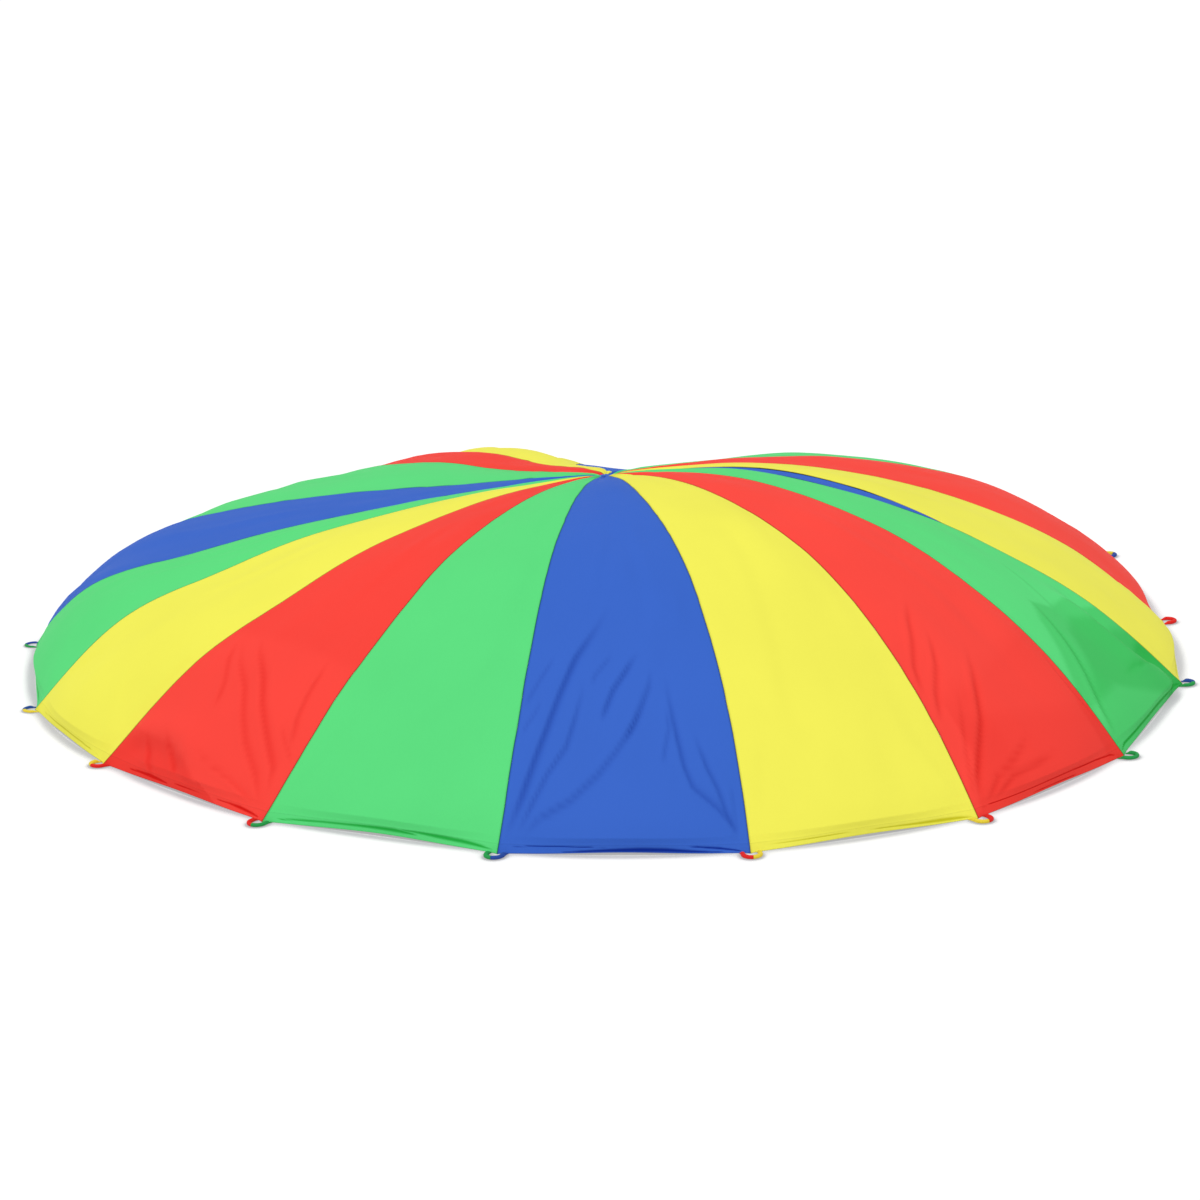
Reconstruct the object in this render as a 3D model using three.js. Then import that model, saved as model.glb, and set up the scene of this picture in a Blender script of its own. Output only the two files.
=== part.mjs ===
// A play parachute resting inflated on the floor: sixteen coloured gores sewn side by side,
// a narrow blue gusset, a round crown patch and sixteen two-colour hand loops round the hem.
// Millimetres, +Z up. The origin is on the floor under the middle. -Y is the front.
import * as THREE from 'three';

// The canopy's plan
const GORE_COUNT = 16;
const RIM_RADIUS = 2180;
const CENTRE_SHIFT_X = 87.1;
const CENTRE_SHIFT_Y = 3.9;
const CROWN_SHIFT_X = -28;
const FRONT_SEAM_TURN = -2.6;
// How far each hem corner lies out of the circle, and along it, starting right of the front
const HEM_REACH = [12, 41, -25, -92, -106, 94, 1, 1, -7, -15, 117, 104, -17, -107, -113, -63];
const HEM_SLIP = [69, 8, -44, -28, -63, 6, -1, 0, 2, -5, 9, 65, 20, -84, 19, 92];
// How far each seam bows aside half way to the crown, degrees, starting right of the front
const SEAM_BOW = [1.9, 1.9, 2.3, -2.1, 1.2, -2.5, 9.8, 21.5, 20.1, 11.1, 21.0, 21.2, 10.2, 8.8, 4.7, 1.3];

// The canopy's heights, from the crown outwards at even steps, with the hem at zero
const CROWN_HEIGHT = 712.5;
const FRONT_HEIGHTS = [783, 789, 762, 690, 531, 303];
const RIGHT_HEIGHTS = [744, 739, 677, 591, 456, 296];
const BACK_HEIGHTS = [680, 620, 625, 542, 474, 252];
const LEFT_HEIGHTS = [695, 680, 648, 608, 496, 400];
const VALLEY_DEPTH = 170.3;
const VALLEY_BEARING = 156.6;
const VALLEY_HALF_WIDTH = 17.6;
const VALLEY_START = 0.15;
const GORE_BILLOW = 10;

// How far each gore's hem is drawn in from the circle between its corners, from the front gore
const HEM_DRAW = [12, 14, 12, 33, 23, 40, 30, 30, 30, 30, 30, 4, 28, 8, 28, 50];
// The hem arches clear of the floor between its corners, and the cloth above its fold puffs out
const HEM_PUFF = 39;
const HEM_RISE = 420;
const HEM_FOLD = 48;
const HEM_ARCH = 9;
const HEM_FOOT = 50;
// The cloth of each corner is pulled out to a point by its loop
const POINT_REACH = 14;
const POINT_HALF_WIDTH = 40;
const POINT_DEPTH = 110;

// Cloth
const PANEL_THICKNESS = 2;
const HEM_THICKNESS = 4;
const HEM_DEPTH = 28;
const SEAM_GAP = 0.4;
const TIP_RADIUS = 20;

// The narrow gusset between the fourth and fifth gores right of the front, wider towards the hem
const GUSSET_SEAM = 3;
const GUSSET_START = 230;
const GUSSET_LENGTH = 1060;
const GUSSET_HALF_WIDTH = 49.5;
const GUSSET_LEAN = 0.55;
const GUSSET_TIP = 12;

// Crown patch, one disc above the gore tips and one below
const PATCH_RADIUS = 36;
const PATCH_THICKNESS = 1.6;
const PATCH_CLEARANCE = 0.4;

// Hand loops: rolled cloth, flat on the floor, their ends sewn to the hem at each corner
const LOOP_SPAN = 56;
const LOOP_REACH = 56;
const LOOP_WIDTH = 14;
const LOOP_HEIGHT = 9;
const LOOP_TAB_HEIGHT = 2;
const LOOP_TAPER = 20;
const LOOP_CLEARANCE = 0.3;
const LOOP_JOIN_GAP = 0.4;

// Mesh counts
const LOOP_BEND_STEPS = 5;
const LOOP_SIDES = 8;
const PATCH_SIDES_PER_GORE = 3;

const COLOURS = {
  blue: '#3b68cb',
  green: '#5edf81',
  red: '#ff4b41',
  yellow: '#f5f15a',
};
const GORE_COLOURS = [
  'blue', 'yellow', 'red', 'green', 'yellow', 'red', 'green', 'blue',
  'yellow', 'red', 'green', 'blue', 'green', 'yellow', 'red', 'green',
];
// Each loop's half on the side of the lower gore number, then the other half
const LOOP_COLOURS = [
  ['red', 'yellow'], ['yellow', 'red'], ['green', 'green'], ['green', 'blue'],
  ['red', 'red'], ['blue', 'yellow'], ['yellow', 'red'], ['red', 'green'],
  ['green', 'blue'], ['blue', 'yellow'], ['yellow', 'red'], ['blue', 'green'],
  ['blue', 'yellow'], ['yellow', 'red'], ['red', 'green'], ['green', 'blue'],
];

const RADIANS = Math.PI / 180;
const STEP = (2 * Math.PI) / GORE_COUNT;

function clamp(value, low, high) {
  return Math.min(Math.max(value, low), high);
}

function smooth(value) {
  const x = clamp(value, 0, 1);
  return x * x * (3 - 2 * x);
}

// A value given at the hem corners, read at any bearing
function roundRim(values, bearing) {
  const place = (bearing / (2 * Math.PI)) * values.length - 0.5;
  const first = Math.floor(place);
  const share = place - first;
  const count = values.length;
  const a = values[((first % count) + count) % count];
  const b = values[(((first + 1) % count) + count) % count];
  return a * (1 - share) + b * share;
}

// Smooth curve over evenly spaced heights, through the crown's height and zero at the hem
function riseAlong(heights, out) {
  const row = [CROWN_HEIGHT, ...heights, 0];
  const last = row.length - 1;
  const padded = [2 * row[0] - row[1], ...row, 2 * row[last] - row[last - 1]];
  const place = clamp(out, 0, 1) * last;
  const i = Math.min(Math.floor(place), last - 1);
  const w = place - i;
  const a = padded[i] * (1 - w) ** 3;
  const b = padded[i + 1] * (3 * w ** 3 - 6 * w ** 2 + 4);
  const c = padded[i + 2] * (-3 * w ** 3 + 3 * w ** 2 + 3 * w + 1);
  const d = padded[i + 3] * w ** 3;
  return (a + b + c + d) / 6;
}

// Share of the way across a gore, 0 and 1 at its seams
function across(bearing) {
  const place = bearing / STEP + 0.5;
  return place - Math.floor(place);
}

function hemDraw(bearing) {
  const gore = Math.floor(bearing / STEP + 0.5);
  const count = HEM_DRAW.length;
  return HEM_DRAW[((gore % count) + count) % count];
}

// The sewn corners stand on the floor and the hem between them arches clear of it
function hemHeight(bearing) {
  const foot = HEM_FOOT / (RIM_RADIUS * STEP);
  const share = clamp((across(bearing) - foot) / (1 - 2 * foot), 0, 1);
  return HEM_ARCH * Math.sin(Math.PI * share) ** 2;
}

// The canopy's outer surface: out is 0 at the crown and 1 at the hem
function canopyPoint(out, bearing) {
  const share = across(bearing);
  const hump = 4 * share * (1 - share);
  const bow = roundRim(SEAM_BOW, bearing) * 4 * out * (1 - out);
  const slip = roundRim(HEM_SLIP, bearing) / RIM_RADIUS;
  const turn = (FRONT_SEAM_TURN + bow) * RADIANS + slip * out;
  const rise = 1 - HEM_RISE / RIM_RADIUS;
  const fold = 1 - HEM_FOLD / RIM_RADIUS;
  const nearHem = smooth((out - rise) / (1 - rise));
  const puffIn = smooth((out - rise) / (fold - rise));
  const puffOut = 1 - clamp((out - fold) / (1 - fold), 0, 1);
  const fromCorner = Math.min(share, 1 - share) * STEP * RIM_RADIUS;
  const drawnBack = 1 - Math.exp(-fromCorner / POINT_HALF_WIDTH);
  const nearPoint = smooth(1 - ((1 - out) * RIM_RADIUS) / POINT_DEPTH);
  let radius = out * (RIM_RADIUS + roundRim(HEM_REACH, bearing));
  radius += HEM_PUFF * hump * puffIn * puffOut - hemDraw(bearing) * hump * nearHem;
  radius -= POINT_REACH * drawnBack * nearPoint;
  const front = riseAlong(FRONT_HEIGHTS, out);
  const right = riseAlong(RIGHT_HEIGHTS, out);
  const back = riseAlong(BACK_HEIGHTS, out);
  const left = riseAlong(LEFT_HEIGHTS, out);
  let z = (front + right + back + left) / 4;
  z += ((front - back) / 2) * Math.cos(bearing);
  z += ((right - left) / 2) * Math.sin(bearing);
  z += ((front + back - right - left) / 4) * Math.cos(2 * bearing);
  const off = bearing - VALLEY_BEARING * RADIANS;
  const aside = (off - 2 * Math.PI * Math.round(off / (2 * Math.PI))) / RADIANS;
  const valley = VALLEY_DEPTH * 4 * out * (1 - out) * smooth(out / VALLEY_START);
  z -= valley * Math.exp(-((aside / VALLEY_HALF_WIDTH) ** 2));
  z += GORE_BILLOW * hump * 4 * out * (1 - out);
  z += hemHeight(bearing) * nearHem;
  const angle = bearing + turn;
  const x = radius * Math.sin(angle) + CROWN_SHIFT_X * (1 - out) ** 2;
  const y = -radius * Math.cos(angle);
  return new THREE.Vector3(x + CENTRE_SHIFT_X, y + CENTRE_SHIFT_Y, z);
}

function canopyNormal(out, bearing) {
  const dOut = 0.002;
  const dBearing = Math.min(0.004 / out, 0.1);
  const high = Math.min(out + dOut, 1);
  const low = Math.max(out - dOut, 0.001);
  const along = canopyPoint(high, bearing).sub(canopyPoint(low, bearing));
  const round = canopyPoint(out, bearing + dBearing).sub(canopyPoint(out, bearing - dBearing));
  return along.cross(round).normalize();
}

// The canopy's surface moved along its normal, at the hem level with the floor instead.
// Both cloths at a seam use the seam's own normal, so that the gap between them stays even.
function offsetPoint(out, bearing, distance, normalBearing = bearing) {
  const point = canopyPoint(out, bearing);
  const normal = canopyNormal(out, normalBearing);
  if (out >= 1) {
    normal.z = 0;
    normal.normalize();
  }
  return point.addScaledVector(normal, distance);
}

// A closed solid between two grids of points with the same rows and columns
function slab(top, under) {
  const rows = top.length;
  const cols = top[0].length;
  const positions = [];
  const faces = [];
  for (const grid of [top, under]) {
    for (const row of grid) {
      for (const p of row) {
        positions.push(p.x, p.y, p.z);
      }
    }
  }
  const at = (side, r, c) => side * rows * cols + r * cols + c;
  const quad = (a, b, c, d) => faces.push(a, b, c, a, c, d);
  for (let r = 0; r < rows - 1; r += 1) {
    for (let c = 0; c < cols - 1; c += 1) {
      quad(at(0, r, c), at(0, r + 1, c), at(0, r + 1, c + 1), at(0, r, c + 1));
      quad(at(1, r, c), at(1, r, c + 1), at(1, r + 1, c + 1), at(1, r + 1, c));
    }
  }
  for (let r = 0; r < rows - 1; r += 1) {
    quad(at(0, r, 0), at(1, r, 0), at(1, r + 1, 0), at(0, r + 1, 0));
    quad(at(1, r + 1, cols - 1), at(1, r, cols - 1), at(0, r, cols - 1), at(0, r + 1, cols - 1));
  }
  for (let c = 0; c < cols - 1; c += 1) {
    quad(at(0, 0, c + 1), at(1, 0, c + 1), at(1, 0, c), at(0, 0, c));
    quad(at(0, rows - 1, c), at(1, rows - 1, c), at(1, rows - 1, c + 1), at(0, rows - 1, c + 1));
  }
  const geometry = new THREE.BufferGeometry();
  geometry.setAttribute('position', new THREE.Float32BufferAttribute(positions, 3));
  geometry.setIndex(faces);
  geometry.computeVertexNormals();
  return geometry;
}

// A closed solid through rings of points, with flat ends
function loft(rings) {
  const count = rings[0].length;
  const positions = [];
  const faces = [];
  for (const ring of rings) {
    for (const p of ring) {
      positions.push(p.x, p.y, p.z);
    }
  }
  for (let r = 0; r < rings.length - 1; r += 1) {
    for (let i = 0; i < count; i += 1) {
      const j = (i + 1) % count;
      const a = r * count + i;
      const b = r * count + j;
      faces.push(a, b, b + count, a, b + count, a + count);
    }
  }
  const end = (rings.length - 1) * count;
  for (let i = 1; i < count - 1; i += 1) {
    faces.push(0, i + 1, i);
    faces.push(end, end + i, end + i + 1);
  }
  const geometry = new THREE.BufferGeometry();
  geometry.setAttribute('position', new THREE.Float32BufferAttribute(positions, 3));
  geometry.setIndex(faces);
  geometry.computeVertexNormals();
  return geometry;
}

function cloth(colour) {
  return new THREE.MeshStandardMaterial({
    color: COLOURS[colour],
    roughness: 0.55,
    metalness: 0,
    side: THREE.DoubleSide,
  });
}

const parachute = new THREE.Group();

function add(name, geometry, colour) {
  const mesh = new THREE.Mesh(geometry, cloth(colour));
  mesh.name = name;
  parachute.add(mesh);
  return mesh;
}

function twoDigits(number) {
  return String(number).padStart(2, '0');
}

// Distances out from the crown at which every gore has a row of points
const hemStart = 1 - HEM_DEPTH / RIM_RADIUS;
const foldLine = 1 - HEM_FOLD / RIM_RADIUS;
const OUT_STEPS = [
  TIP_RADIUS / RIM_RADIUS, PATCH_RADIUS / RIM_RADIUS, 0.05, 0.11, 0.18, 0.27, 0.36, 0.45, 0.55,
  0.64, 0.72, 0.79, 0.85, 0.9, 0.945, foldLine, hemStart - 0.0012, hemStart, 1,
];
// Shares of the way across every gore at which it has a column of points
const footShare = HEM_FOOT / (RIM_RADIUS * STEP);
const ACROSS_STEPS = [0, footShare, 0.25, 0.5, 0.75, 1 - footShare, 1];

function seamBearing(seam) {
  return seam * STEP + STEP / 2;
}

// Half of the gusset's width at a distance out, as an angle
function gussetHalfAngle(out) {
  const share = (out * RIM_RADIUS - GUSSET_START) / GUSSET_LENGTH;
  if (share <= 0 || share >= 1) {
    return 0;
  }
  const half = GUSSET_HALF_WIDTH * Math.sin(Math.PI * share) * (1 + GUSSET_LEAN * (2 * share - 1));
  return half / (out * RIM_RADIUS);
}

// The gores beside the gusset have rows at its two blunt tips, and where they meet past them
const gussetEnd = GUSSET_START + GUSSET_LENGTH;
const gussetTips = [(GUSSET_START + GUSSET_TIP) / RIM_RADIUS, (gussetEnd - GUSSET_TIP) / RIM_RADIUS];
const gussetMarks = [GUSSET_START / RIM_RADIUS, ...gussetTips, gussetEnd / RIM_RADIUS];
const clearOfMarks = OUT_STEPS.filter(
  (out) => gussetMarks.every((mark) => Math.abs(out - mark) * RIM_RADIUS > GUSSET_TIP / 2),
);
const besideGusset = [...clearOfMarks, ...gussetMarks].sort((a, b) => a - b);
const gussetRows = besideGusset.filter((out) => out >= gussetTips[0] && out <= gussetTips[1]);

function clothThickness(out) {
  return out >= hemStart ? HEM_THICKNESS : PANEL_THICKNESS;
}

function halfGap(out) {
  return SEAM_GAP / 2 / (out * RIM_RADIUS);
}

function clothBetween(rows, leftBearing, rightBearing, shares) {
  const top = [];
  const under = [];
  for (const out of rows) {
    const topRow = [];
    const underRow = [];
    for (const share of shares) {
      const whole = leftBearing(out) * (1 - share) + rightBearing(out) * share;
      const bearing = whole + halfGap(out) * (1 - 2 * share);
      topRow.push(canopyPoint(out, bearing));
      underRow.push(offsetPoint(out, bearing, -clothThickness(out), whole));
    }
    top.push(topRow);
    under.push(underRow);
  }
  return slab(top, under);
}

for (let gore = 0; gore < GORE_COUNT; gore += 1) {
  const left = (out) => {
    const gusset = gore === GUSSET_SEAM + 1 ? gussetHalfAngle(out) : 0;
    return seamBearing(gore - 1) + gusset;
  };
  const right = (out) => {
    const gusset = gore === GUSSET_SEAM ? gussetHalfAngle(out) : 0;
    return seamBearing(gore) - gusset;
  };
  const besideIt = gore === GUSSET_SEAM || gore === GUSSET_SEAM + 1;
  const geometry = clothBetween(besideIt ? besideGusset : OUT_STEPS, left, right, ACROSS_STEPS);
  add(`gore_${twoDigits(gore)}`, geometry, GORE_COLOURS[gore % GORE_COLOURS.length]);
}

const gussetMiddle = seamBearing(GUSSET_SEAM);
const gussetLeft = (out) => gussetMiddle - gussetHalfAngle(out);
const gussetRight = (out) => gussetMiddle + gussetHalfAngle(out);
add('gusset', clothBetween(gussetRows, gussetLeft, gussetRight, [0, 1]), 'blue');

// A disc that follows the canopy, from its near face to its far face
function patch(nearDistance, farDistance) {
  const sides = GORE_COUNT * PATCH_SIDES_PER_GORE;
  const radii = [TIP_RADIUS / RIM_RADIUS, PATCH_RADIUS / RIM_RADIUS];
  const positions = [];
  const faces = [];
  for (const distance of [farDistance, nearDistance]) {
    const middle = canopyPoint(0, 0);
    positions.push(middle.x, middle.y, middle.z + distance);
    for (const out of radii) {
      for (let i = 0; i < sides; i += 1) {
        const bearing = seamBearing(-1) + (i * 2 * Math.PI) / sides;
        const p = offsetPoint(out, bearing, distance);
        positions.push(p.x, p.y, p.z);
      }
    }
  }
  const face = 1 + radii.length * sides;
  for (let i = 0; i < sides; i += 1) {
    const j = (i + 1) % sides;
    faces.push(0, 1 + i, 1 + j);
    faces.push(face, face + 1 + j, face + 1 + i);
    for (let r = 0; r < radii.length - 1; r += 1) {
      const a = 1 + r * sides + i;
      const b = 1 + r * sides + j;
      faces.push(a, a + sides, b + sides, a, b + sides, b);
      faces.push(face + a, face + b, face + b + sides, face + a, face + b + sides, face + a + sides);
    }
    const a = 1 + (radii.length - 1) * sides + i;
    const b = 1 + (radii.length - 1) * sides + j;
    faces.push(a, face + a, face + b, a, face + b, b);
  }
  const geometry = new THREE.BufferGeometry();
  geometry.setAttribute('position', new THREE.Float32BufferAttribute(positions, 3));
  geometry.setIndex(faces);
  geometry.computeVertexNormals();
  if (farDistance < nearDistance) {
    geometry.index.array.reverse();
  }
  return geometry;
}

add('crown_patch_top', patch(PATCH_CLEARANCE, PATCH_CLEARANCE + PATCH_THICKNESS), 'blue');
const underFace = -(PANEL_THICKNESS + PATCH_CLEARANCE);
add('crown_patch_under', patch(underFace, underFace - PATCH_THICKNESS), 'blue');

// Half of a hand loop. side is -1 for the half on the lower gore number and 1 for the other.
function loopHalf(seam, side) {
  const bearing = seamBearing(seam);
  const corner = canopyPoint(1, bearing);
  const ahead = canopyPoint(1, bearing + STEP * footShare);
  const behind = canopyPoint(1, bearing - STEP * footShare);
  const along = ahead.sub(behind).setZ(0).normalize();
  const outward = new THREE.Vector3(along.y, -along.x, 0);
  const local = (point) => {
    const from = point.clone().sub(corner);
    return [from.dot(outward), from.dot(along)];
  };
  // The hem's edge beside the corner runs straight, so the strap's end is cut to its slope
  const [hemDepth, hemAside] = local(canopyPoint(1, bearing + side * STEP * footShare));
  const hemSlope = hemDepth / Math.abs(hemAside);
  const half = LOOP_SPAN / 2;
  const start = hemSlope * half + LOOP_CLEARANCE;
  const straight = LOOP_REACH - LOOP_WIDTH / 2 - half;
  const path = [];
  for (const x of [start, start + LOOP_TAPER / 2, start + LOOP_TAPER, straight]) {
    path.push({ x, y: half, dx: 1, dy: 0 });
  }
  const joinAngle = Math.PI / 2 - LOOP_JOIN_GAP / 2 / half;
  for (let i = 1; i <= LOOP_BEND_STEPS; i += 1) {
    const angle = (joinAngle * i) / LOOP_BEND_STEPS;
    path.push({
      x: straight + half * Math.sin(angle),
      y: half * Math.cos(angle),
      dx: Math.cos(angle),
      dy: -Math.sin(angle),
    });
  }
  path[path.length - 1].dx = 0;
  path[path.length - 1].dy = -1;
  const rings = path.map((p, place) => {
    const grown = smooth((p.x - start) / LOOP_TAPER);
    const height = LOOP_TAB_HEIGHT + (LOOP_HEIGHT - LOOP_TAB_HEIGHT) * grown;
    const ring = [];
    for (let i = 0; i < LOOP_SIDES; i += 1) {
      const turn = ((i + 0.5) / LOOP_SIDES) * 2 * Math.PI;
      const flat = Math.cos(Math.PI / LOOP_SIDES);
      const aside = (Math.cos(turn) / flat) * (LOOP_WIDTH / 2);
      const up = ((Math.sin(turn) / flat + 1) * height) / 2;
      const skew = place === 0 ? hemSlope * aside : 0;
      const x = p.x - p.dy * aside + skew;
      const y = p.y + p.dx * aside;
      const at = corner.clone().addScaledVector(outward, x).addScaledVector(along, side * y);
      at.z = up;
      ring.push(at);
    }
    return side > 0 ? ring : ring.reverse();
  });
  return loft(rings);
}

for (let seam = 0; seam < GORE_COUNT; seam += 1) {
  const [first, second] = LOOP_COLOURS[seam % LOOP_COLOURS.length];
  add(`loop_${twoDigits(seam)}_a`, loopHalf(seam, -1), first);
  add(`loop_${twoDigits(seam)}_b`, loopHalf(seam, 1), second);
}

export default parachute;
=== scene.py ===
# A play parachute resting inflated on the floor. Metres, +Z up, -Y is the front.
import math
from functools import partial

import bpy
import numpy as np
from mathutils import Matrix, Vector


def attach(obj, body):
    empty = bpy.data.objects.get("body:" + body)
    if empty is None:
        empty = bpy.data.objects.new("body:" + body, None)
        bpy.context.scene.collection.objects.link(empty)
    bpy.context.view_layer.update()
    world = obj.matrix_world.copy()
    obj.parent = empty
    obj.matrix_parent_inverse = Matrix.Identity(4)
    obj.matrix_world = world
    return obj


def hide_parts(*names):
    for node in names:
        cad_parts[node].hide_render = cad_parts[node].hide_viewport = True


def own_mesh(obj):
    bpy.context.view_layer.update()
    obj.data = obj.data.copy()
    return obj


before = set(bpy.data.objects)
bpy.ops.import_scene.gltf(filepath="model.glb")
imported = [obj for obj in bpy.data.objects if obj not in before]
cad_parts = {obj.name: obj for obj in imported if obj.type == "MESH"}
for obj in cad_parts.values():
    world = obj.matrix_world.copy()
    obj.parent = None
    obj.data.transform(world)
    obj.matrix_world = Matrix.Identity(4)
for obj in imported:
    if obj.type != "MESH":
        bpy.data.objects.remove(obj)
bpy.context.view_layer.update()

# The canopy, as in the CAD: metres, degrees, and millimetres in the names that end in _MM. Lists
# run round the gores or their hem corners, from the front to the right, or from crown to hem.
GORES = 16
STEP = 2 * math.pi / GORES
RIM = 2.180
CENTRE = (0.0871, 0.0039)
CROWN_SHIFT = -0.028
SEAM_TURN = -2.6
HEM_REACH_MM = [12, 41, -25, -92, -106, 94, 1, 1, -7, -15, 117, 104, -17, -107, -113, -63]
HEM_SLIP_MM = [69, 8, -44, -28, -63, 6, -1, 0, 2, -5, 9, 65, 20, -84, 19, 92]
SEAM_BOW = [1.9, 1.9, 2.3, -2.1, 1.2, -2.5, 9.8, 21.5, 20.1, 11.1, 21.0, 21.2, 10.2, 8.8, 4.7, 1.3]
CROWN_MM = 712.5
FRONT_MM = [783, 789, 762, 690, 531, 303]
RIGHT_MM = [744, 739, 677, 591, 456, 296]
BACK_MM = [680, 620, 625, 542, 474, 252]
LEFT_MM = [695, 680, 648, 608, 496, 400]
VALLEY_DEPTH = 0.1703
VALLEY_BEARING = 156.6
VALLEY_HALF_WIDTH = 17.6
VALLEY_START = 0.15
BILLOW = 0.010
HEM_DRAW_MM = [12, 14, 12, 33, 23, 40, 30, 30, 30, 30, 30, 4, 28, 8, 28, 50]
HEM_PUFF = 0.039
HEM_RISE = 0.420
HEM_FOLD = 0.048
HEM_ARCH = 0.009
HEM_FOOT = 0.050
POINT_REACH = 0.014
POINT_HALF_WIDTH = 0.040
POINT_DEPTH = 0.110
HEM_DEPTH = 0.028
TIP_RADIUS = 0.020
GUSSET_SEAM = 3
GUSSET_START = 0.230
GUSSET_LENGTH = 1.060
# Each half is 4 mm wider than the CAD's, and widest nearer its middle
GUSSET_HALF_WIDTH = 0.0535
GUSSET_LEAN = 0.25
GUSSET_TIP = 0.012
LOOP_SPAN = 0.056
LOOP_REACH = 0.056
LOOP_WIDTH = 0.014
LOOP_CLEARANCE = 0.0003
LOOP_JOIN_GAP = 0.0004
LOOP_TAPER = 0.020
LOOP_TAB_HEIGHT = 0.0020
# The rolled strap is fuller than the CAD's, and reaches a little further
CORD_WIDTH = 0.0165
CORD_HEIGHT = 0.0130
CORD_REACH = LOOP_REACH + 0.003
# Straps that stand up beside a steep hem are thinner: (width, height)
THIN_CORDS = {8: (0.0145, 0.0092), 11: (0.0135, 0.0068), 12: (0.0145, 0.0092)}
# Loops that lie bunched in the photo reach less far
BUNCHED = {2: 0.051, 3: 0.044, 4: 0.048, 11: 0.046, 12: 0.044, 13: 0.050}

COLOURS = {
    "blue": (0.231, 0.408, 0.796),
    "green": (0.369, 0.875, 0.506),
    "red": (1.0, 0.294, 0.255),
    "yellow": (0.961, 0.945, 0.353),
}
# The loops are of the same cloths rolled up, so they look deeper
STRAP_COLOURS = {
    "blue": (0.16, 0.30, 0.64),
    "green": (0.14, 0.62, 0.30),
    "red": (0.90, 0.14, 0.12),
    "yellow": (0.94, 0.84, 0.24),
}
GORE_COLOURS = [
    "blue", "yellow", "red", "green", "yellow", "red", "green", "blue",
    "yellow", "red", "green", "blue", "green", "yellow", "red", "green",
]
LOOP_COLOURS = [
    ("red", "yellow"), ("yellow", "red"), ("green", "green"), ("green", "blue"),
    ("red", "red"), ("blue", "yellow"), ("yellow", "red"), ("red", "green"),
    ("green", "blue"), ("blue", "yellow"), ("yellow", "red"), ("blue", "green"),
    ("blue", "yellow"), ("yellow", "red"), ("red", "green"), ("green", "blue"),
]
# Stitching, as distances from the edge of a seam or the hem
SEAM_ALLOWANCE = 0.0055
SEAM_STITCHES = (0.0022, 0.0048)
HEM_STITCHES = 0.0250
# Step for finding a normal, as a share of the way out
NORMAL_STEP = 0.002


def smooth(x):
    x = np.clip(x, 0, 1)
    return x * x * (3 - 2 * x)


def round_rim(values, bearing):
    """A value given at the hem corners, read at any bearing."""
    values = np.asarray(values, float)
    place = bearing / STEP - 0.5
    first = np.floor(place).astype(int)
    share = place - first
    return values[first % GORES] * (1 - share) + values[(first + 1) % GORES] * share


def rise_along(heights, out):
    """Smooth curve over evenly spaced heights, through the crown's height and zero at the hem."""
    row = np.array([CROWN_MM, *heights, 0]) / 1000
    last = len(row) - 1
    row = np.concatenate([[2 * row[0] - row[1]], row, [2 * row[-1] - row[-2]]])
    place = np.clip(out, 0, 1) * last
    i = np.minimum(np.floor(place).astype(int), last - 1)
    w = place - i
    a = row[i] * (1 - w) ** 3
    b = row[i + 1] * (3 * w**3 - 6 * w**2 + 4)
    c = row[i + 2] * (-3 * w**3 + 3 * w**2 + 3 * w + 1)
    d = row[i + 3] * w**3
    return (a + b + c + d) / 6


def canopy(out, bearing):
    """The canopy's outer surface: out is 0 at the crown and 1 at the hem."""
    out, bearing = np.broadcast_arrays(np.asarray(out, float), np.asarray(bearing, float))
    place = bearing / STEP + 0.5
    gore = np.floor(place).astype(int)
    share = place - gore
    hump = 4 * share * (1 - share)
    bow = round_rim(SEAM_BOW, bearing) * 4 * out * (1 - out)
    slip = round_rim(HEM_SLIP_MM, bearing) / 1000 / RIM
    turn = np.radians(SEAM_TURN + bow) + slip * out
    rise = 1 - HEM_RISE / RIM
    fold = 1 - HEM_FOLD / RIM
    near_hem = smooth((out - rise) / (1 - rise))
    puff_in = smooth((out - rise) / (fold - rise))
    puff_out = 1 - np.clip((out - fold) / (1 - fold), 0, 1)
    from_corner = np.minimum(share, 1 - share) * STEP * RIM
    drawn_back = 1 - np.exp(-from_corner / POINT_HALF_WIDTH)
    near_point = smooth(1 - (1 - out) * RIM / POINT_DEPTH)
    draw = np.asarray(HEM_DRAW_MM)[gore % GORES] / 1000
    radius = out * (RIM + round_rim(HEM_REACH_MM, bearing) / 1000)
    radius = radius + HEM_PUFF * hump * puff_in * puff_out - draw * hump * near_hem
    radius = radius - POINT_REACH * drawn_back * near_point
    front, right = rise_along(FRONT_MM, out), rise_along(RIGHT_MM, out)
    back, left = rise_along(BACK_MM, out), rise_along(LEFT_MM, out)
    z = (front + right + back + left) / 4
    z = z + (front - back) / 2 * np.cos(bearing) + (right - left) / 2 * np.sin(bearing)
    z = z + (front + back - right - left) / 4 * np.cos(2 * bearing)
    off = bearing - math.radians(VALLEY_BEARING)
    aside = np.degrees(off - 2 * np.pi * np.round(off / (2 * np.pi)))
    valley = VALLEY_DEPTH * 4 * out * (1 - out) * smooth(out / VALLEY_START)
    z = z - valley * np.exp(-((aside / VALLEY_HALF_WIDTH) ** 2))
    z = z + BILLOW * hump * 4 * out * (1 - out)
    foot = HEM_FOOT / (RIM * STEP)
    arched = np.clip((share - foot) / (1 - 2 * foot), 0, 1)
    z = z + HEM_ARCH * np.sin(np.pi * arched) ** 2 * near_hem
    angle = bearing + turn
    x = radius * np.sin(angle) + CROWN_SHIFT * (1 - out) ** 2
    return np.stack([x + CENTRE[0], -radius * np.cos(angle) + CENTRE[1], z], -1)


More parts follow.
